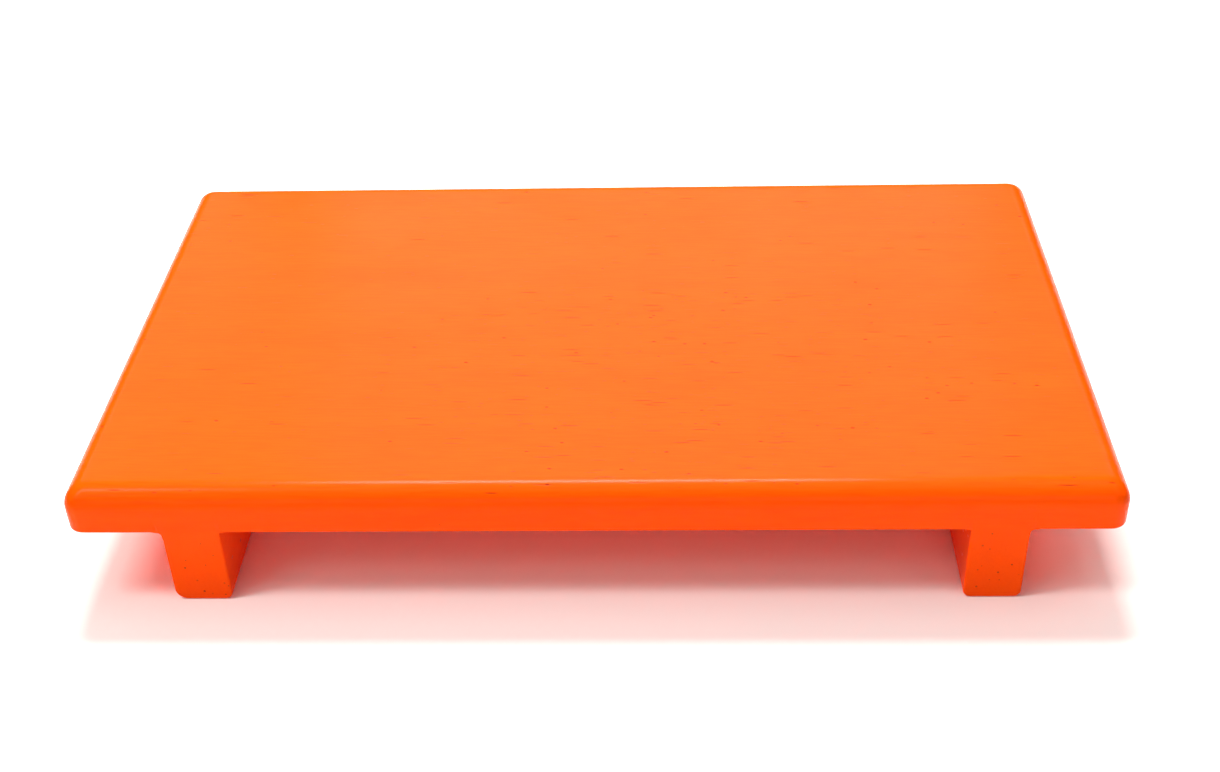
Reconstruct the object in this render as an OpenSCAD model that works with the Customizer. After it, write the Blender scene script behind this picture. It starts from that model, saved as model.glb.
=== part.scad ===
// Sushi geta board: a plank on two runner legs, joined by stopped sliding dovetails.
// Units are millimetres, +Z is up, and the origin is on the ground under the middle of the board.
// The front is towards -Y, and the plank's grain runs along X.

/* [Board] */
// Length of the board, left to right
board_length = 270; // [200:1:360]
// Depth of the board, front to back
board_depth = 160; // [120:1:220]
// Thickness of the board
board_thickness = 12.5; // [11.5:0.5:20]
// Radius of the board's corners, seen from above
board_corner_radius = 7; // [6.5:0.5:20]
// Radius of the round-over along the top edge
top_edge_radius = 6; // [1:0.25:6]
// Radius that eases the bottom edge
bottom_edge_radius = 1; // [0.5:0.1:2]

/* [Legs] */
// Width of each leg
leg_width = 15; // [12:0.5:30]
// Height of each leg below the board
leg_height = 23; // [15:0.5:60]
// How far the board reaches past the outer face of each leg
leg_overhang = 24.5; // [12:0.5:60]
// Radius of the long bottom edges of each leg
foot_edge_radius = 2; // [1:0.25:5]
// Radius that eases the edges of each leg's end faces
leg_end_edge_radius = 0.6; // [0.3:0.1:1]

/* [Dovetail] */
// Depth of the groove in the underside of the board
groove_depth = 5; // [3:0.25:6]
// Width of the groove at the underside, where it is narrowest
groove_mouth_width = 8; // [6:0.5:10]
// Slope of the groove's sides
dovetail_angle = 10; // [6:1:14]
// Distance from the front of the board to the stopped end of the groove
groove_stop = 14; // [12:0.5:40]
// Room for glue round the tongue
glue_gap = 0.1; // [0.05:0.05:0.2]

/* [Hidden] */
$fn = 96;

// Overrun of every cut past the face that it opens
cut_overrun = 1;

leg_offset = board_length / 2 - leg_overhang - leg_width / 2;
// Height over a leg to which the board's edges stay square, so that the end faces are flush
leg_seat_height = (board_thickness - top_edge_radius + bottom_edge_radius) / 2;
groove_root_width = groove_mouth_width + 2 * groove_depth * tan(dovetail_angle);
// The cutter leaves a round end, and its widest reach is groove_stop behind the front of the board.
groove_end_y = -board_depth / 2 + groove_stop + groove_root_width / 2;
tongue_length = board_depth / 2 - groove_end_y;

board_paint = [0.98, 0.42, 0.13];
leg_paint = [0.97, 0.33, 0.09];

// A rectangle standing on the x axis from x = 0 to reach, with its two outer corners rounded.
module edge_section(reach, height, top_radius, bottom_radius) {
    difference() {
        square([reach, height]);
        translate([reach - top_radius, height - top_radius])
            corner_waste(top_radius);
        translate([reach - bottom_radius, bottom_radius])
            mirror([0, 1]) corner_waste(bottom_radius);
    }
}

// What a round-over takes away from a square corner.
module corner_waste(radius) {
    difference() {
        square(radius + cut_overrun);
        circle(radius);
    }
}

// A flat block, centred on the z axis and standing on z = 0, with round corners in plan
// and an edge that is rounded above and below.
module rounded_slab(length, depth, height, corner_radius, top_radius, bottom_radius) {
    straight_length = length - 2 * corner_radius;
    straight_depth = depth - 2 * corner_radius;
    rotate([90, 0, 90])
        linear_extrude(straight_length, center = true)
            for (side = [0, 1])
                mirror([side, 0])
                    edge_section(depth / 2, height, top_radius, bottom_radius);
    for (side = [-1, 1])
        translate([side * straight_length / 2, 0])
            rotate([90, 0, 0])
                linear_extrude(straight_depth, center = true)
                    mirror([side < 0 ? 1 : 0, 0])
                        edge_section(corner_radius, height, top_radius, bottom_radius);
    for (corner = [0 : 3])
        translate([
            (corner == 0 || corner == 3 ? 1 : -1) * straight_length / 2,
            (corner < 2 ? 1 : -1) * straight_depth / 2
        ])
            rotate(corner * 90)
                rotate_extrude(angle = 90)
                    edge_section(corner_radius, height, top_radius, bottom_radius);
}

// The dovetail's outline, wider at the top, with its mouth on the x axis.
module dovetail_outline(shrink) {
    mouth = groove_mouth_width / 2 - shrink;
    root = groove_root_width / 2 - shrink;
    height = groove_depth - shrink;
    polygon([[-mouth, 0], [mouth, 0], [root, height], [-root, height]]);
}

// The cut for one leg: it enters from the back of the board and ends round.
module dovetail_groove() {
    run = tongue_length + cut_overrun;
    translate([0, groove_end_y, 0])
        rotate([90, 0, 180])
            linear_extrude(run)
                dovetail_outline(0);
    translate([0, groove_end_y, 0])
        cylinder(groove_depth, groove_mouth_width / 2, groove_root_width / 2);
}

// The plank's bottom edge is eased beside the legs and stays square over them.
module plank() {
    rounded_slab(board_length, board_depth, board_thickness,
        board_corner_radius, top_edge_radius, bottom_edge_radius);
    for (side = [-1, 1])
        translate([side * leg_offset - leg_width / 2, -board_depth / 2, 0])
            cube([leg_width, board_depth, leg_seat_height]);
}

module top_board() {
    color(board_paint)
        translate([0, 0, leg_height])
            difference() {
                plank();
                for (side = [-1, 1])
                    translate([side * leg_offset, 0, 0])
                        dovetail_groove();
            }
}

// One leg on the z axis: a runner with round bottom edges and its tongue on top.
module leg() {
    blank_height = leg_height + 2 * foot_edge_radius;
    intersection() {
        translate([0, board_depth / 2, blank_height / 2])
            rotate([90, 0, 0])
                rounded_slab(leg_width, blank_height, board_depth,
                    foot_edge_radius, leg_end_edge_radius, leg_end_edge_radius);
        translate([-leg_width / 2 - cut_overrun, -board_depth / 2 - cut_overrun, -cut_overrun])
            cube([leg_width + 2 * cut_overrun, board_depth + 2 * cut_overrun, leg_height + cut_overrun]);
    }
    translate([0, groove_end_y + glue_gap, leg_height])
        rotate([90, 0, 180])
            linear_extrude(tongue_length - glue_gap)
                dovetail_outline(glue_gap);
}

module left_leg() {
    color(leg_paint)
        translate([-leg_offset, 0, 0])
            leg();
}

module right_leg() {
    color(leg_paint)
        translate([leg_offset, 0, 0])
            leg();
}

top_board();
left_leg();
right_leg();
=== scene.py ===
"""A sushi geta board: a painted hardwood plank on two runner legs, in a white studio."""
import math

import bmesh
import bpy
import numpy as np
from mathutils import Euler, Matrix, Vector


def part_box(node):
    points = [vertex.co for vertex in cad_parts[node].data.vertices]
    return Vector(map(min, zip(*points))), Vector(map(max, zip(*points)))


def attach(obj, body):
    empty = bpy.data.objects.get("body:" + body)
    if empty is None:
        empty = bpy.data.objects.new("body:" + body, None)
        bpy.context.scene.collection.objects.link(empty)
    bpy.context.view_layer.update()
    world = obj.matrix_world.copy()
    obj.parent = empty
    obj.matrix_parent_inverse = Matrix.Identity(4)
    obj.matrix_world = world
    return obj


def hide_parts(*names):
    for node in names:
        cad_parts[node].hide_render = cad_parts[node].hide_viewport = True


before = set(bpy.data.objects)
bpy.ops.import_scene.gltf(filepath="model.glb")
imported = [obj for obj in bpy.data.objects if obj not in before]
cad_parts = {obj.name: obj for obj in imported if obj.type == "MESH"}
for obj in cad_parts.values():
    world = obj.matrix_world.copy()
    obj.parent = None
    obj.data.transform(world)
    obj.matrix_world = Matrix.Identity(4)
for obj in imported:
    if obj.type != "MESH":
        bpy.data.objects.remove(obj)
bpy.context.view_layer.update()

MM = 0.001

board_low, board_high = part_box("top_board")
left_low, left_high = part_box("left_leg")
right_low, right_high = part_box("right_leg")

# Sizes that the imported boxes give
UNDERSIDE = board_low.z
TOP = board_high.z
HALF_LENGTH = board_high.x
HALF_DEPTH = board_high.y
LEG_HALF_WIDTH = (left_high.x - left_low.x) / 2
LEFT_CENTRE = (left_low.x + left_high.x) / 2
RIGHT_CENTRE = (right_low.x + right_high.x) / 2

# Edge forms of the board. The round-over of its top edge is wider than its corners are round at the
# side, so a corner's radius shrinks on the way up, and is small round the flat top.
CORNER_RADIUS = 4.5 * MM
FLAT_CORNER_RADIUS = 1.3 * MM
TOP_EDGE_RADIUS = 6 * MM
BOTTOM_EDGE_RADIUS = 0.5 * MM
# How far inside the board's sides the corners of the flat top have their centres
FLAT_REACH = TOP_EDGE_RADIUS + FLAT_CORNER_RADIUS

# Edge forms of the legs. The left leg's foot is worn along its outer edge.
FOOT_EDGE_RADIUS = 2 * MM
WORN_FOOT_EDGE_RADIUS = 3.2 * MM
LEG_END_EDGE_RADIUS = 0.6 * MM
# Height below the board over which the easing of a leg's end faces fades out
LEG_EASE_FADE = 3 * MM

# The dovetail, as in the solids
GROOVE_DEPTH = 5 * MM
GROOVE_MOUTH_HALF = 4 * MM
DOVETAIL_SLOPE = math.tan(math.radians(10))
GROOVE_ROOT_HALF = GROOVE_MOUTH_HALF + GROOVE_DEPTH * DOVETAIL_SLOPE
GROOVE_STOP = 14 * MM
GROOVE_END_Y = -HALF_DEPTH + GROOVE_STOP + GROOVE_ROOT_HALF
GLUE_GAP = 0.1 * MM
# How far the groove's cutter runs past the face that it opens
CUT_OVERRUN = 1 * MM

# Paint that has gathered where a leg meets the board, on its outer and on its inner side
OUTER_FILLET = 1.0 * MM
INNER_FILLET = 0.25 * MM
# How far the board's bottom edge takes to go from square, over a leg, to eased
EDGE_BLEND = 1.6 * MM
BLEND_SHARES = (0, 0.2, 0.4, 0.6, 0.8, 1)

# Steps of the surfaces
CELL = 2 * MM
LEG_CELL = 5 * MM
LEG_SIDE_STEPS = 10
CORNER_STEPS = 14
ROUND_STEPS = 14
SMALL_ROUND_STEPS = 6
FOOT_ROUND_STEPS = 8
# Where on the half width of a leg's flat foot an extra row of points runs
FOOT_ROW_SHARE = 1 / 3
# An even station gives way to a chosen one that is nearer than this share of a cell
CLOSE_SHARE = 0.25
WELD = 0.002 * MM
SHARP_ANGLE = math.radians(35)
TINY = 1e-9


def smooth_step(value):
    """0 below 0, 1 above 1, and 3v² - 2v³ between them."""
    v = np.clip(value, 0, 1)
    return v * v * (3 - 2 * v)


def grid_quads(rows, columns, first=0, closed=False):
    """Corner numbers of the quads of a rows by columns grid of points, joined round if closed."""
    row = np.arange(rows - 1)[:, None]
    column = np.arange(columns if closed else columns - 1)[None, :]
    following = (column + 1) % columns
    here = row * columns
    above = here + columns
    quads = np.stack([here + column, here + following, above + following, above + column], -1)
    return first + quads.reshape(-1, 4)


def new_piece(name, points, faces):
    """A piece from points in metres and faces: doubles merged, and every face turned outwards."""
    mesh = bpy.data.meshes.new(name)
    mesh.from_pydata(points.tolist(), [], faces)
    shape = bmesh.new()
    shape.from_mesh(mesh)
    bmesh.ops.remove_doubles(shape, verts=shape.verts, dist=WELD)
    bmesh.ops.dissolve_degenerate(shape, edges=shape.edges, dist=WELD)
    bmesh.ops.recalc_face_normals(shape, faces=shape.faces)
    shape.to_mesh(mesh)
    shape.free()
    piece = bpy.data.objects.new(name, mesh)
    bpy.context.scene.collection.objects.link(piece)
    return piece


def finish_shading(piece):
    """Smooth rounds and flat flats: sharp edges by angle, and normals weighted by face area."""
    piece.data.shade_smooth()
    piece.data.set_sharp_from_angle(angle=SHARP_ANGLE)
    weighted = piece.modifiers.new("even normals", "WEIGHTED_NORMAL")
    weighted.keep_sharp = True


def stations(half, cell, extra=()):
    """Places from -half to half, about a cell apart, with the extra ones among them."""
    even = np.linspace(-half, half, int(round(2 * half / cell)) + 1)
    extra = np.array([place for place in extra if abs(place) < half])
    if len(extra):
        apart = np.min(np.abs(even[:, None] - extra[None, :]), axis=1)
        even = even[apart > CLOSE_SHARE * cell]
    return np.sort(np.concatenate([even, extra]))


def plan_path(x_shares, y_shares):
    """The way round a rectangle that reaches from -1 to 1, and the outward normals of the plan that
    is drawn round it: each corner point of the rectangle is there once for each step of the turn."""
    across = np.ones_like(y_shares)
    along = np.ones_like(x_shares)
    sides = [
        (x_shares, -along, (0.0, -1.0), (1.0, -1.0)),
        (across, y_shares, (1.0, 0.0), (1.0, 1.0)),
        (x_shares[::-1], along, (0.0, 1.0), (-1.0, 1.0)),
        (-across, y_shares[::-1], (-1.0, 0.0), (-1.0, -1.0)),
    ]
    points = []
    normals = []
    quarter = np.linspace(0, math.pi / 2, CORNER_STEPS + 1)[1:-1]
    for number, (x, y, normal, corner) in enumerate(sides):
        points.append(np.stack([x, y], -1))
        normals.append(np.tile(np.array(normal), (len(x), 1)))
        turn = quarter + (number - 1) * math.pi / 2
        points.append(np.tile(np.array(corner), (len(turn), 1)))
        normals.append(np.stack([np.cos(turn), np.sin(turn)], -1))
    return np.concatenate(points), np.concatenate(normals)


def drawn_round(path, outward, reach, inset):
    """Plan points at an inset from the board's sides: a rectangle whose sides lie reach inside the
    board's, and a line drawn round it at a distance of reach less inset."""
    inner = np.array([HALF_LENGTH, HALF_DEPTH]) - reach
    return path * inner + (reach - inset) * outward


def leg_flanks():
    """For each side of each leg: where its paint fillet ends, and the direction away from the leg."""
    return [
        (LEFT_CENTRE - LEG_HALF_WIDTH - OUTER_FILLET, -1),
        (LEFT_CENTRE + LEG_HALF_WIDTH + INNER_FILLET, 1),
        (RIGHT_CENTRE - LEG_HALF_WIDTH - INNER_FILLET, -1),
        (RIGHT_CENTRE + LEG_HALF_WIDTH + OUTER_FILLET, 1),
    ]


def bottom_radius_at(points):
    """The bottom edge's radius at each point of the plan: full, but nothing over the legs."""
    flanks = leg_flanks()
    over_left = np.maximum(flanks[0][0] - points[:, 0], points[:, 0] - flanks[1][0])
    over_right = np.maximum(flanks[2][0] - points[:, 0], points[:, 0] - flanks[3][0])
    beside = np.minimum(over_left, over_right)
    on_a_long_side = np.abs(points[:, 1]) > HALF_DEPTH - CORNER_RADIUS
    return BOTTOM_EDGE_RADIUS * np.where(on_a_long_side, smooth_step(beside / EDGE_BLEND), 1.0)


def board_profile(bottom_radius):
    """Reach of the corners' centres, inset and height, at each step of the profile and each point of
    the plan: the flat top, the round-over, the side, the eased bottom edge and the underside."""
    ones = np.ones_like(bottom_radius)
    rings = [(FLAT_REACH * ones, FLAT_REACH * ones, TOP * ones)]
    for turn in np.linspace(math.pi / 2, 0, ROUND_STEPS + 1):
        inset = TOP_EDGE_RADIUS * (1 - math.cos(turn))
        height = TOP - TOP_EDGE_RADIUS * (1 - math.sin(turn))
        shrink = (CORNER_RADIUS - FLAT_CORNER_RADIUS) * inset / TOP_EDGE_RADIUS
        rings.append(((inset + CORNER_RADIUS - shrink) * ones, inset * ones, height * ones))
    for turn in np.linspace(0, math.pi / 2, SMALL_ROUND_STEPS + 1):
        inset = bottom_radius * (1 - math.cos(turn))
        height = UNDERSIDE + bottom_radius * (1 - math.sin(turn))
        rings.append((CORNER_RADIUS * ones, inset, height))
    rings.append((CORNER_RADIUS * ones, CORNER_RADIUS * ones, UNDERSIDE * ones))
    return np.array(rings)


def groove_cutter(centre):
    """The sweep of the dovetail cutter for one leg: a slot with a round front end, wider as it rises."""
    turn = np.linspace(math.pi, 2 * math.pi, 2 * CORNER_STEPS + 1)
    rings = []
    for height in (-CUT_OVERRUN, GROOVE_DEPTH):
        half = GROOVE_MOUTH_HALF + height * DOVETAIL_SLOPE
        open_end = [HALF_DEPTH + CUT_OVERRUN]
        x = centre + np.concatenate([[-half], half * np.cos(turn), [half]])
        y = np.concatenate([open_end, GROOVE_END_Y + half * np.sin(turn), open_end])
        rings.append(np.stack([x, y, np.full_like(x, UNDERSIDE + height)], -1))
    around = len(rings[0])
    faces = grid_quads(2, around, closed=True).tolist()
    faces += [list(range(around)), list(range(around, 2 * around))]
    return new_piece("groove_cutter", np.concatenate(rings), faces)


def cut_with(piece, cutters):
    """Takes the cutters out of the piece's mesh, and deletes them."""
    for cutter in cutters:
        cut = piece.modifiers.new("cut", "BOOLEAN")
        cut.operation = "DIFFERENCE"
        cut.solver = "EXACT"
        cut.object = cutter
    depsgraph = bpy.context.evaluated_depsgraph_get()
    made = bpy.data.meshes.new_from_object(piece.evaluated_get(depsgraph))
    made.name = piece.name
    piece.modifiers.clear()
    piece.data = made
    for cutter in cutters:
        bpy.data.objects.remove(cutter)


def make_board():
    """The plank: a profile carried round the plan, closed by a grid above and a grid below."""
    blends = [place + away * share * EDGE_BLEND for place, away in leg_flanks() for share in BLEND_SHARES]
    x_end = HALF_LENGTH - CORNER_RADIUS
    y_end = HALF_DEPTH - CORNER_RADIUS
    x_shares = stations(x_end, CELL, blends) / x_end
    y_shares = stations(y_end, CELL) / y_end
    path, outward = plan_path(x_shares, y_shares)
    sides = drawn_round(path, outward, CORNER_RADIUS, 0)
    reach, inset, height = np.moveaxis(board_profile(bottom_radius_at(sides)), 1, 0)
    rings = np.empty((*reach.shape, 3))
    rings[..., :2] = drawn_round(path[None], outward[None], reach[..., None], inset[..., None])
    rings[..., 2] = height
    points = [rings.reshape(-1, 3)]
    faces = [grid_quads(*reach.shape, closed=True)]
    flat_x, flat_y = np.meshgrid(x_shares, y_shares)
    for flat_reach, flat_height in ((FLAT_REACH, TOP), (CORNER_RADIUS, UNDERSIDE)):
        first = sum(len(some) for some in points)
        x = flat_x * (HALF_LENGTH - flat_reach)
        y = flat_y * (HALF_DEPTH - flat_reach)
        points.append(np.stack([x, y, np.full_like(x, flat_height)], -1).reshape(-1, 3))
        faces.append(grid_quads(*x.shape, first))
    board = new_piece("painted_board", np.concatenate(points), np.concatenate(faces).tolist())
    cut_with(board, [groove_cutter(LEFT_CENTRE), groove_cutter(RIGHT_CENTRE)])
    finish_shading(board)
    return board


def half_outline(tongue, fillet, foot_radius):
    """The right half of a leg seen from the front, as x and z from the top down: the tongue, the
    shoulder, the paint fillet, the side and the round foot edge. tongue is 1 with it, 0 without."""
    mouth = GROOVE_MOUTH_HALF - GLUE_GAP
    root = mouth + tongue * (GROOVE_ROOT_HALF - GROOVE_MOUTH_HALF)
    crown = UNDERSIDE + tongue * (GROOVE_DEPTH - GLUE_GAP)
    fillet_turn = np.linspace(math.pi / 2, math.pi, SMALL_ROUND_STEPS + 1)
    foot_turn = np.linspace(0, math.pi / 2, FOOT_ROUND_STEPS + 1)
    side = np.linspace(UNDERSIDE - OUTER_FILLET, foot_radius, LEG_SIDE_STEPS + 1)[1:-1]
    foot_half = LEG_HALF_WIDTH - foot_radius
    x = np.concatenate([
        [root, mouth],
        LEG_HALF_WIDTH + fillet * (1 + np.cos(fillet_turn)),
        np.full_like(side, LEG_HALF_WIDTH),
        foot_half + foot_radius * np.cos(foot_turn),
        [foot_half * FOOT_ROW_SHARE],
    ])
    z = np.concatenate([
        [crown, UNDERSIDE],
        UNDERSIDE - fillet * (1 - np.sin(fillet_turn)),
        side,
        foot_radius * (1 - np.sin(foot_turn)),
        [0],
    ])
    return np.stack([x, z], -1)


def leg_outline(tongue, outer_side, outer_foot_radius):
    """Closed outline of a leg, down its right half and up its left half. outer_side is 1 if the
    leg's outer side is on the right."""
    outer = half_outline(tongue, OUTER_FILLET, outer_foot_radius)
    inner = half_outline(tongue, INNER_FILLET, FOOT_EDGE_RADIUS)
    right, left = (outer, inner) if outer_side > 0 else (inner, outer)
    return np.concatenate([right, left[::-1] * np.array([-1, 1])])


def inward_normals(outline):
    """Unit normals that point into a closed outline that runs clockwise."""
    along = np.roll(outline, -1, 0) - np.roll(outline, 1, 0)
    normal = np.stack([along[:, 1], -along[:, 0]], -1)
    return normal / np.maximum(np.linalg.norm(normal, axis=1, keepdims=True), TINY)


def section(outline, y):
    """The outline's points in space, at y."""
    return np.stack([outline[:, 0], np.broadcast_to(y, len(outline)), outline[:, 1]], -1)


def eased_end(outline, end_y, towards):
    """Rings that round the edge between an end face at end_y and the sides: a quarter circle whose
    radius fades to nothing near the board. towards is the direction from the end into the leg."""
    fade = smooth_step((UNDERSIDE - outline[:, 1]) / LEG_EASE_FADE)
    radius = LEG_END_EDGE_RADIUS * fade
    inward = inward_normals(outline)
    rings = []
    for turn in np.linspace(0, math.pi / 2, SMALL_ROUND_STEPS + 1):
        inset = outline + (radius * (1 - math.sin(turn)))[:, None] * inward
        y = end_y + towards * radius * (1 - math.cos(turn))
        rings.append(section(inset, y))
    return rings


def make_leg(name, centre, outer_side, outer_foot_radius):
    """A runner: its outline carried from front to back, with the edges of both end faces eased.
    The tongue starts behind the stopped end of the groove and runs out at the back."""
    plain = leg_outline(0, outer_side, outer_foot_radius)
    tongued = leg_outline(1, outer_side, outer_foot_radius)
    tongue_start = GROOVE_END_Y + GLUE_GAP
    front_places = np.arange(-HALF_DEPTH + LEG_CELL, tongue_start - LEG_CELL / 2, LEG_CELL)
    back_places = np.arange(tongue_start + LEG_CELL, HALF_DEPTH - LEG_CELL / 2, LEG_CELL)
    rings = eased_end(plain, -HALF_DEPTH, 1)
    rings += [section(plain, y) for y in front_places]
    rings += [section(plain, tongue_start), section(tongued, tongue_start)]
    rings += [section(tongued, y) for y in back_places]
    rings += eased_end(tongued, HALF_DEPTH, -1)[::-1]
    around = len(plain)
    faces = grid_quads(len(rings), around, closed=True).tolist()
    # Each end face is a ladder of strips between the two halves of the outline
    step = np.arange(around // 2 - 1)
    ladder = np.stack([step, step + 1, around - 2 - step, around - 1 - step], -1)
    faces += ladder.tolist() + (ladder + (len(rings) - 1) * around).tolist()
    points = np.concatenate(rings)
    points[:, 0] += centre
    leg = new_piece(name, points, faces)
    finish_shading(leg)
    return leg


def new_group(name, inputs, outputs):
    """A node group. Each input is named with its kind, and every output is a plain value."""
    group = bpy.data.node_groups.new(name, "ShaderNodeTree")
    for socket, kind in inputs.items():
        group.interface.new_socket(socket, in_out="INPUT", socket_type="NodeSocket" + kind)
    for socket in outputs:
        group.interface.new_socket(socket, in_out="OUTPUT", socket_type="NodeSocketFloat")
    return group


# Layout of the nodes in the editor
NODES_PER_ROW = 8
NODE_SPACING = (200, -240)


class Nodes:
    """Adds nodes to a tree, each with its settings and its inputs, in rows from left to right."""

    def __init__(self, tree):
        self.tree = tree
        self.count = 0

    def add(self, kind, settings=None, inputs=None):
        """Adds a node. Inputs are named or numbered, and each is an output or a value."""
        node = self.tree.nodes.new(kind)
        row, column = divmod(self.count, NODES_PER_ROW)
        node.location = (NODE_SPACING[0] * column, NODE_SPACING[1] * row)
        self.count += 1
        for key, value in (settings or {}).items():
            setattr(node, key, value)
        for key, value in (inputs or {}).items():
            if isinstance(value, bpy.types.NodeSocket):
                self.tree.links.new(value, node.inputs[key])
            else:
                node.inputs[key].default_value = value
        return node

    def math(self, operation, first, second):
        """One step of arithmetic."""
        return self.add("ShaderNodeMath", {"operation": operation}, {0: first, 1: second}).outputs[0]

    def vector(self, operation, first, second):
        """One step of arithmetic on vectors."""
        node = self.add("ShaderNodeVectorMath", {"operation": operation}, {0: first, 1: second})
        return node.outputs[0]

    def ramp(self, value, low, high, to_low=0.0, to_high=1.0):
        """Smooth step of a value from low to high, onto to_low to to_high."""
        inputs = {0: value, 1: low, 2: high, 3: to_low, 4: to_high}
        return self.add("ShaderNodeMapRange", {"interpolation_type": "SMOOTHSTEP"}, inputs).outputs[0]

    def noise(self, vector, scale, detail, roughness=0.5):
        """Noise from 0 to 1."""
        inputs = {"Vector": vector, "Scale": scale, "Detail": detail, "Roughness": roughness}
        return self.add("ShaderNodeTexNoise", None, inputs).outputs[0]

    def blend(self, first, first_weight, second, second_weight):
        """The weighted sum of two values."""
        weighted = self.math("MULTIPLY", first, first_weight)
        return self.math("ADD", weighted, self.math("MULTIPLY", second, second_weight))

    def mix(self, share, first, second):
        """A colour that goes from the first to the second with the share."""
        inputs = {0: share, 6: first, 7: second}
        return self.add("ShaderNodeMix", {"data_type": "RGBA"}, inputs).outputs[2]


# How much the pores differ in size and in strength, and the part of a spindle that has full depth
PORE_SIZES = (0.45, 1.3)
PORE_STRENGTHS = (0.35, 0.9)
PORE_CORE = 0.45


def make_pore_group():
    """Pores of an open-grained wood: one thin spindle in each cell of a stretched 3-D pattern of
    cells. Some cells have none, and the spindles differ in size and strength."""
    inputs = {"Vector": "Vector"} | dict.fromkeys(("Cell Length", "Cell Width", "Size", "Share"), "Float")
    group = new_group("wood_pores", inputs, ["Pores"])
    n = Nodes(group)
    given = n.add("NodeGroupInput").outputs
    along = n.math("DIVIDE", 1.0, given["Cell Length"])
    across = n.math("DIVIDE", 1.0, given["Cell Width"])
    scale = n.add("ShaderNodeCombineXYZ", None, {0: along, 1: across, 2: across})
    stretched = n.vector("MULTIPLY", given["Vector"], scale.outputs[0])
    cells = n.add("ShaderNodeTexVoronoi", None, {"Vector": stretched, "Scale": 1.0})
    chance = n.add("ShaderNodeSeparateColor", None, {0: cells.outputs["Color"]})
    present = n.math("LESS_THAN", chance.outputs[0], given["Share"])
    size = n.math("MULTIPLY", given["Size"], n.ramp(chance.outputs[1], 0.0, 1.0, *PORE_SIZES))
    reach = n.math("DIVIDE", cells.outputs["Distance"], size)
    spindle = n.ramp(reach, PORE_CORE, 1.0, 1.0, 0.0)
    strength = n.ramp(chance.outputs[2], 0.0, 1.0, *PORE_STRENGTHS)
    pores = n.math("MULTIPLY", n.math("MULTIPLY", spindle, present), strength)
    n.add("NodeGroupOutput", None, {"Pores": pores})
    return group


# Waves in a metre of the wood's streaks, along the grain and twice across it, and their weights
FINE_STREAKS = (110.0, 1500.0, 1500.0)
BROAD_STREAKS = (7.0, 130.0, 130.0)
FINE_STREAK_WEIGHT = 0.7
BROAD_STREAK_WEIGHT = 0.3
# The dense patch is full up to the first share of its reach, and gone at the second
PATCH_FADE_SHARES = (0.35, 1.15)
# Inside the patch the broad streaks thin the pores down to this share
THIN_STREAK_SHARE = 0.4


def make_figure_group():
    """The wood's figure: long fine streaks along X, and a mask of where the pores are dense."""
    inputs = dict.fromkeys(("Vector", "Centre", "Reach"), "Vector")
    group = new_group("wood_figure", inputs, ["Streaks", "Dense"])
    n = Nodes(group)
    given = n.add("NodeGroupInput").outputs
    fine = n.noise(n.vector("MULTIPLY", given["Vector"], FINE_STREAKS), 1.0, 2.0, 0.6)
    broad = n.noise(n.vector("MULTIPLY", given["Vector"], BROAD_STREAKS), 1.0, 2.0)
    streaks = n.blend(fine, FINE_STREAK_WEIGHT, broad, BROAD_STREAK_WEIGHT)
    away = n.vector("DIVIDE", n.vector("SUBTRACT", given["Vector"], given["Centre"]), given["Reach"])
    apart = n.add("ShaderNodeVectorMath", {"operation": "LENGTH"}, {0: away}).outputs["Value"]
    patch = n.ramp(apart, *PATCH_FADE_SHARES, 1.0, 0.0)
    dense = n.math("MULTIPLY", patch, n.ramp(broad, 0.3, 0.7, THIN_STREAK_SHARE, 1.0))
    n.add("NodeGroupOutput", None, {"Streaks": streaks, "Dense": dense})
    return group


# Waves in a metre of the paint's orange peel, of the slow waves under it and of its cloudy tone
PEEL_WAVES = 620.0
SLOW_WAVES = 170.0
CLOUD_WAVES = 28.0
PEEL_WEIGHT = 0.4
SLOW_WEIGHT = 0.9


def make_skin_group():
    """The sprayed paint's skin: a fine orange peel on slow waves, and cloudy changes of tone."""
    group = new_group("paint_skin", {"Vector": "Vector"}, ["Peel", "Cloud"])
    n = Nodes(group)
    given = n.add("NodeGroupInput").outputs
    fine = n.noise(given["Vector"], PEEL_WAVES, 1.5)
    slow = n.noise(given["Vector"], SLOW_WAVES, 1.0)
    peel = n.blend(fine, PEEL_WEIGHT, slow, SLOW_WEIGHT)
    cloud = n.noise(given["Vector"], CLOUD_WAVES, 3.0, 0.55)
    n.add("NodeGroupOutput", None, {"Peel": peel, "Cloud": cloud})
    return group


# The paint, its deeper tone, and the paint in an open pore, as red, green, blue and opacity
PAINT = (0.985, 0.084, 0.001, 1.0)
PAINT_DEEP = (0.90, 0.060, 0.0007, 1.0)
PORE_SHADE = (0.18, 0.014, 0.0005, 1.0)
SPECULAR_LEVEL = 0.04
# The satin's roughness from patch to patch, and what an open pore adds to it
SATIN_ROUGHNESS = (0.17, 0.23)
PORE_ROUGHNESS = 0.6
RELIEF_DEPTH = 0.045 * MM
STREAK_RELIEF = 0.25

# The pores' cells, and the spindle's size as a share of a cell
LONG_PORES = {"Cell Length": 12 * MM, "Cell Width": 0.95 * MM, "Size": 0.25}
SHORT_PORES = {"Cell Length": 3.0 * MM, "Cell Width": 1.2 * MM, "Size": 0.24}
# A short pore's cell is filled less often than a long one's, and the shift keeps the patterns apart
SHORT_PORE_SHARE = 0.6
SHORT_PORE_SHIFT = (0.313, 0.171, 0.237)
# Share of the pores that still show where the paint lies thick, and the height in which it thins out
FILLED_SHARE = 0.03
PAINT_THINNING = 2 * MM


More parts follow.
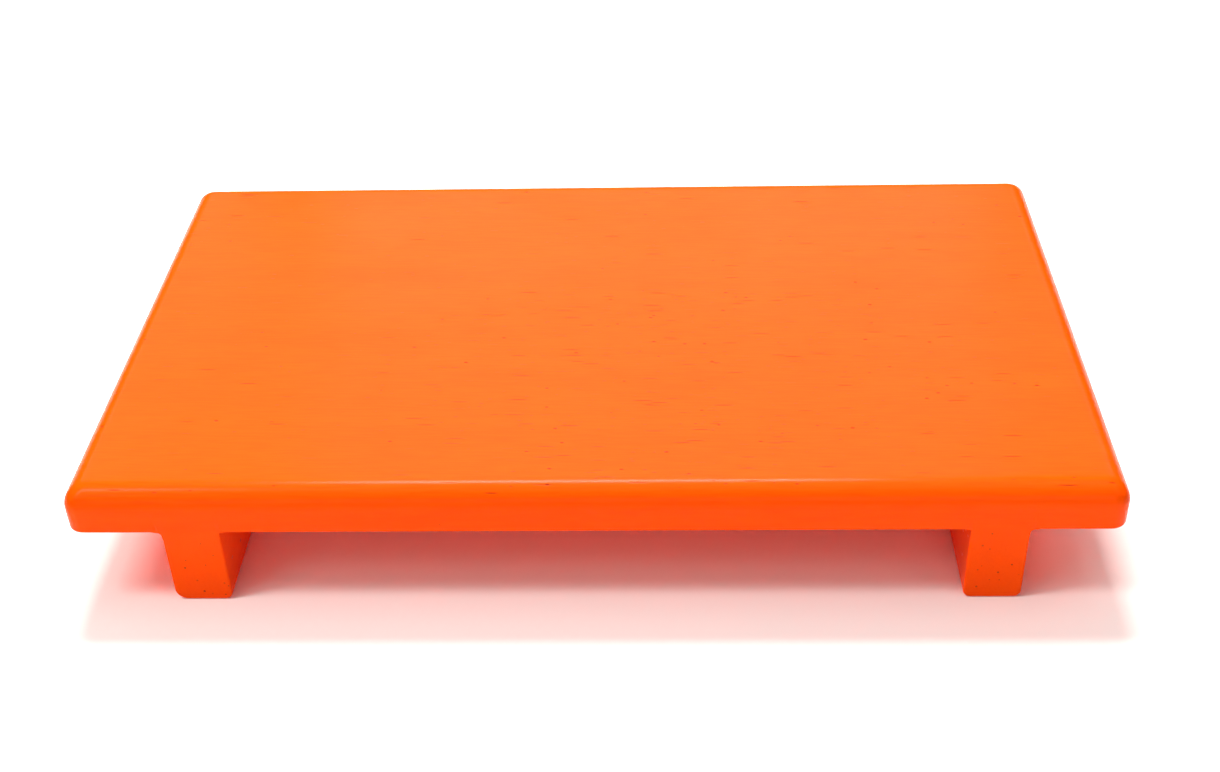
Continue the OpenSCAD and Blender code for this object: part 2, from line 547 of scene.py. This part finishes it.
def painted_wood(name, groups, turn, centre, reach, base_share, dense_share, thick_below, streak, mottle):
    """Orange paint over open-grained wood. turn brings the wood's grain onto X, centre and reach
    place the patch with the most pores, and the shares say how many cells hold a pore. Below the
    height thick_below the paint lies thick, and fills nearly all of them. streak and mottle say how
    far the grain's streaks and the cloudy patches go towards the deeper paint."""
    material = bpy.data.materials.new(name)
    material.use_nodes = True
    tree = material.node_tree
    tree.nodes.clear()
    n = Nodes(tree)

    def group(kind, inputs):
        return n.add("ShaderNodeGroup", {"node_tree": groups[kind]}, inputs).outputs

    place = n.add("ShaderNodeTexCoord").outputs["Object"]
    turned = {"Vector": place, "Rotation": turn}
    grain = n.add("ShaderNodeMapping", {"vector_type": "POINT"}, turned).outputs[0]
    figure = group("figure", {"Vector": grain, "Centre": centre, "Reach": reach})
    skin = group("skin", {"Vector": place})

    height = n.add("ShaderNodeSeparateXYZ", None, {0: place}).outputs["Z"]
    open_share = n.ramp(height, thick_below, thick_below + PAINT_THINNING, FILLED_SHARE, 1.0)
    share = n.math("MULTIPLY", n.ramp(figure["Dense"], 0.0, 1.0, base_share, dense_share), open_share)
    long_pores = group("pores", {"Vector": grain, "Share": share} | LONG_PORES)["Pores"]
    short_share = n.math("MULTIPLY", share, SHORT_PORE_SHARE)
    shifted = n.vector("ADD", grain, SHORT_PORE_SHIFT)
    short_pores = group("pores", {"Vector": shifted, "Share": short_share} | SHORT_PORES)["Pores"]
    pores = n.math("MAXIMUM", long_pores, short_pores)

    streak_tone = n.ramp(figure["Streaks"], 0.32, 0.68, streak, 0.0)
    cloud_tone = n.ramp(skin["Cloud"], 0.25, 0.75, 0.0, mottle)
    paint = n.mix(n.math("ADD", streak_tone, cloud_tone), PAINT, PAINT_DEEP)
    colour = n.mix(pores, paint, PORE_SHADE)
    satin = n.ramp(skin["Cloud"], 0.2, 0.8, *SATIN_ROUGHNESS)
    rough = n.math("ADD", satin, n.math("MULTIPLY", pores, PORE_ROUGHNESS))
    relief = n.math("SUBTRACT", skin["Peel"], pores)
    relief = n.math("ADD", relief, n.math("MULTIPLY", figure["Streaks"], STREAK_RELIEF))
    bump = n.add("ShaderNodeBump", None, {"Strength": 1.0, "Distance": RELIEF_DEPTH, "Height": relief})

    finish = {"Base Color": colour, "Roughness": rough, "Normal": bump.outputs[0]}
    shader = n.add("ShaderNodeBsdfPrincipled", None, finish)
    shader.inputs["Specular IOR Level"].default_value = SPECULAR_LEVEL
    n.add("ShaderNodeOutputMaterial", None, {0: shader.outputs[0]})
    return material


# The floor's warm tint is painted bounce light: lit floor is bright enough to show white, and in the
# shadows the tint stands in for the orange light that the paint throws onto the floor.
FLOOR_COLOUR_WITH_PAINTED_BOUNCE = (0.94, 0.84, 0.80, 1.0)
FLOOR_ROUGHNESS = 0.9


def floor_finish():
    """A plain matt finish in a pale colour, warmed as painted orange bounce light that shows only in the
    shadows.
    """
    material = bpy.data.materials.new("pale_floor")
    material.use_nodes = True
    shader = material.node_tree.nodes["Principled BSDF"]
    shader.inputs["Base Color"].default_value = FLOOR_COLOUR_WITH_PAINTED_BOUNCE
    shader.inputs["Roughness"].default_value = FLOOR_ROUGHNESS
    shader.inputs["Specular IOR Level"].default_value = 0.0
    return material


# The camera, from the photograph's perspective. The frame's width, the focal length and the centre
# are in pixels of the photograph, and the sensor's width is in millimetres.
FRAME_WIDTH = 1220
SENSOR_WIDTH = 36.0
FOCAL_PIXELS = 1646.2
CENTRE_PIXEL_X = 622.3
CAMERA_PLACE = (0.02068, -0.3957, 0.29782)
CAMERA_YAW = math.radians(-2.18)
CAMERA_PITCH = math.radians(35.97)
CAMERA_ROLL = math.radians(-1.66)
CLIP_START = 0.01


def make_camera():
    """The photograph's camera, looking down at the board from in front."""
    camera = bpy.data.cameras.new("camera")
    camera.sensor_fit = "HORIZONTAL"
    camera.sensor_width = SENSOR_WIDTH
    camera.lens = FOCAL_PIXELS / FRAME_WIDTH * SENSOR_WIDTH
    camera.shift_x = (FRAME_WIDTH / 2 - CENTRE_PIXEL_X) / FRAME_WIDTH
    camera.clip_start = CLIP_START
    holder = bpy.data.objects.new("camera", camera)
    turn = Euler((math.pi / 2 - CAMERA_PITCH, 0, -CAMERA_YAW)).to_matrix()
    turn = turn @ Matrix.Rotation(CAMERA_ROLL, 3, "Z")
    holder.matrix_world = Matrix.Translation(CAMERA_PLACE) @ turn.to_4x4()
    bpy.context.scene.collection.objects.link(holder)
    bpy.context.scene.camera = holder


FLOOR_RADIUS = 0.9
FLOOR_STEPS = 96
# The pale floor and the paint pass light to and fro many times in the gap under the board
DIFFUSE_BOUNCES = 8
WHITE = (1.0, 1.0, 1.0, 1.0)
# Strength of the white around the table, for the camera and for everything else
SEEN_WHITE = 1.0
FAINT_FILL = 0.02

# Soft boxes: place, width and height in metres, and power in watts. All face the board.
SOFT_BOXES = {
    "overhead_strip": ((-0.06, 0.49, 0.96), 0.46, 0.23, 18.0),
    "zenith_box": ((0.0, 0.0, 1.1), 1.0, 0.9, 3.4),
    "upper_left_box": ((-0.57, -0.2, 0.95), 0.16, 0.4, 5.4),
    "upper_right_box": ((0.6, 0.08, 0.95), 0.3, 0.55, 1.0),
    "front_left_box": ((-0.8, -0.6, 0.9), 0.6, 0.5, 2.8),
    "front_right_box": ((0.8, -0.6, 0.9), 0.6, 0.5, 0.8),
    "low_front_card": ((0.0, -1.2, 0.5), 1.2, 0.4, 2.6),
    "panel_behind": ((0.0, 1.6, 1.15), 1.0, 0.7, 7.0),
    "panel_behind_left": ((-0.9, 1.5, 1.05), 0.8, 0.7, 3.9),
    "panel_behind_right": ((0.9, 1.5, 1.05), 0.8, 0.7, 3.7),
}


def make_floor():
    """A round, pale table top under the legs, lit so brightly that it runs out into the white."""
    turn = np.linspace(0, 2 * math.pi, FLOOR_STEPS, endpoint=False)
    rim = np.stack([FLOOR_RADIUS * np.cos(turn), FLOOR_RADIUS * np.sin(turn), np.zeros_like(turn)], -1)
    floor = new_piece("floor", rim, [list(range(FLOOR_STEPS))])
    floor.data.materials.append(floor_finish())


def soft_box(name, place, width, height, power):
    """A rectangular area light that faces the board."""
    light = bpy.data.lights.new(name, "AREA")
    light.shape = "RECTANGLE"
    light.size = width
    light.size_y = height
    light.energy = power
    holder = bpy.data.objects.new(name, light)
    target = Vector((0, 0, (UNDERSIDE + TOP) / 2))
    facing = (target - Vector(place)).to_track_quat("-Z", "Y")
    holder.matrix_world = Matrix.Translation(place) @ facing.to_matrix().to_4x4()
    bpy.context.scene.collection.objects.link(holder)


def make_surroundings():
    """White where the camera looks past the table, and nearly dark for everything else."""
    world = bpy.data.worlds.new("studio")
    world.use_nodes = True
    n = Nodes(world.node_tree)
    background = world.node_tree.nodes["Background"]
    seen = n.add("ShaderNodeLightPath").outputs["Is Camera Ray"]
    world.node_tree.links.new(n.ramp(seen, 0.0, 1.0, FAINT_FILL, SEEN_WHITE), background.inputs["Strength"])
    background.inputs["Color"].default_value = WHITE
    bpy.context.scene.world = world


groups = {"pores": make_pore_group(), "figure": make_figure_group(), "skin": make_skin_group()}

# The plank's grain runs a little askew, and its pores are densest in a patch right of the middle.
# The paint is thick on all of its edge but the top of the round-over.
board_finish = painted_wood(
    "paint_over_plank",
    groups,
    turn=(0.0, 0.0, math.radians(1.2)),
    centre=(0.026, -0.026, 0.035),
    reach=(0.10, 0.07, 0.2),
    base_share=0.14,
    dense_share=1.0,
    thick_below=TOP - 2 * MM,
    streak=0.5,
    mottle=0.15,
)
# The legs' grain runs from front to back, and they show few pores. thick_below lies under their
# feet, so the paint is nowhere thick on them.
leg_finish = painted_wood(
    "paint_over_legs",
    groups,
    turn=(0.0, 0.0, math.radians(90)),
    centre=(0.0, 0.0, 0.0),
    reach=(0.5, 0.5, 0.5),
    base_share=0.05,
    dense_share=0.1,
    thick_below=-5 * MM,
    streak=0.3,
    mottle=0.4,
)

board = make_board()
board.data.materials.append(board_finish)
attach(board, "root")
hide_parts("top_board")

for name, node, centre, outer_side, outer_foot_radius in (
    ("painted_left_leg", "left_leg", LEFT_CENTRE, -1, WORN_FOOT_EDGE_RADIUS),
    ("painted_right_leg", "right_leg", RIGHT_CENTRE, 1, FOOT_EDGE_RADIUS),
):
    leg = make_leg(name, centre, outer_side, outer_foot_radius)
    leg.data.materials.append(leg_finish)
    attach(leg, "root")
    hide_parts(node)

make_camera()
make_floor()
make_surroundings()
for name, (place, width, height, power) in SOFT_BOXES.items():
    soft_box(name, place, width, height, power)
bpy.context.scene.view_settings.view_transform = "Standard"
bpy.context.scene.cycles.diffuse_bounces = DIFFUSE_BOUNCES
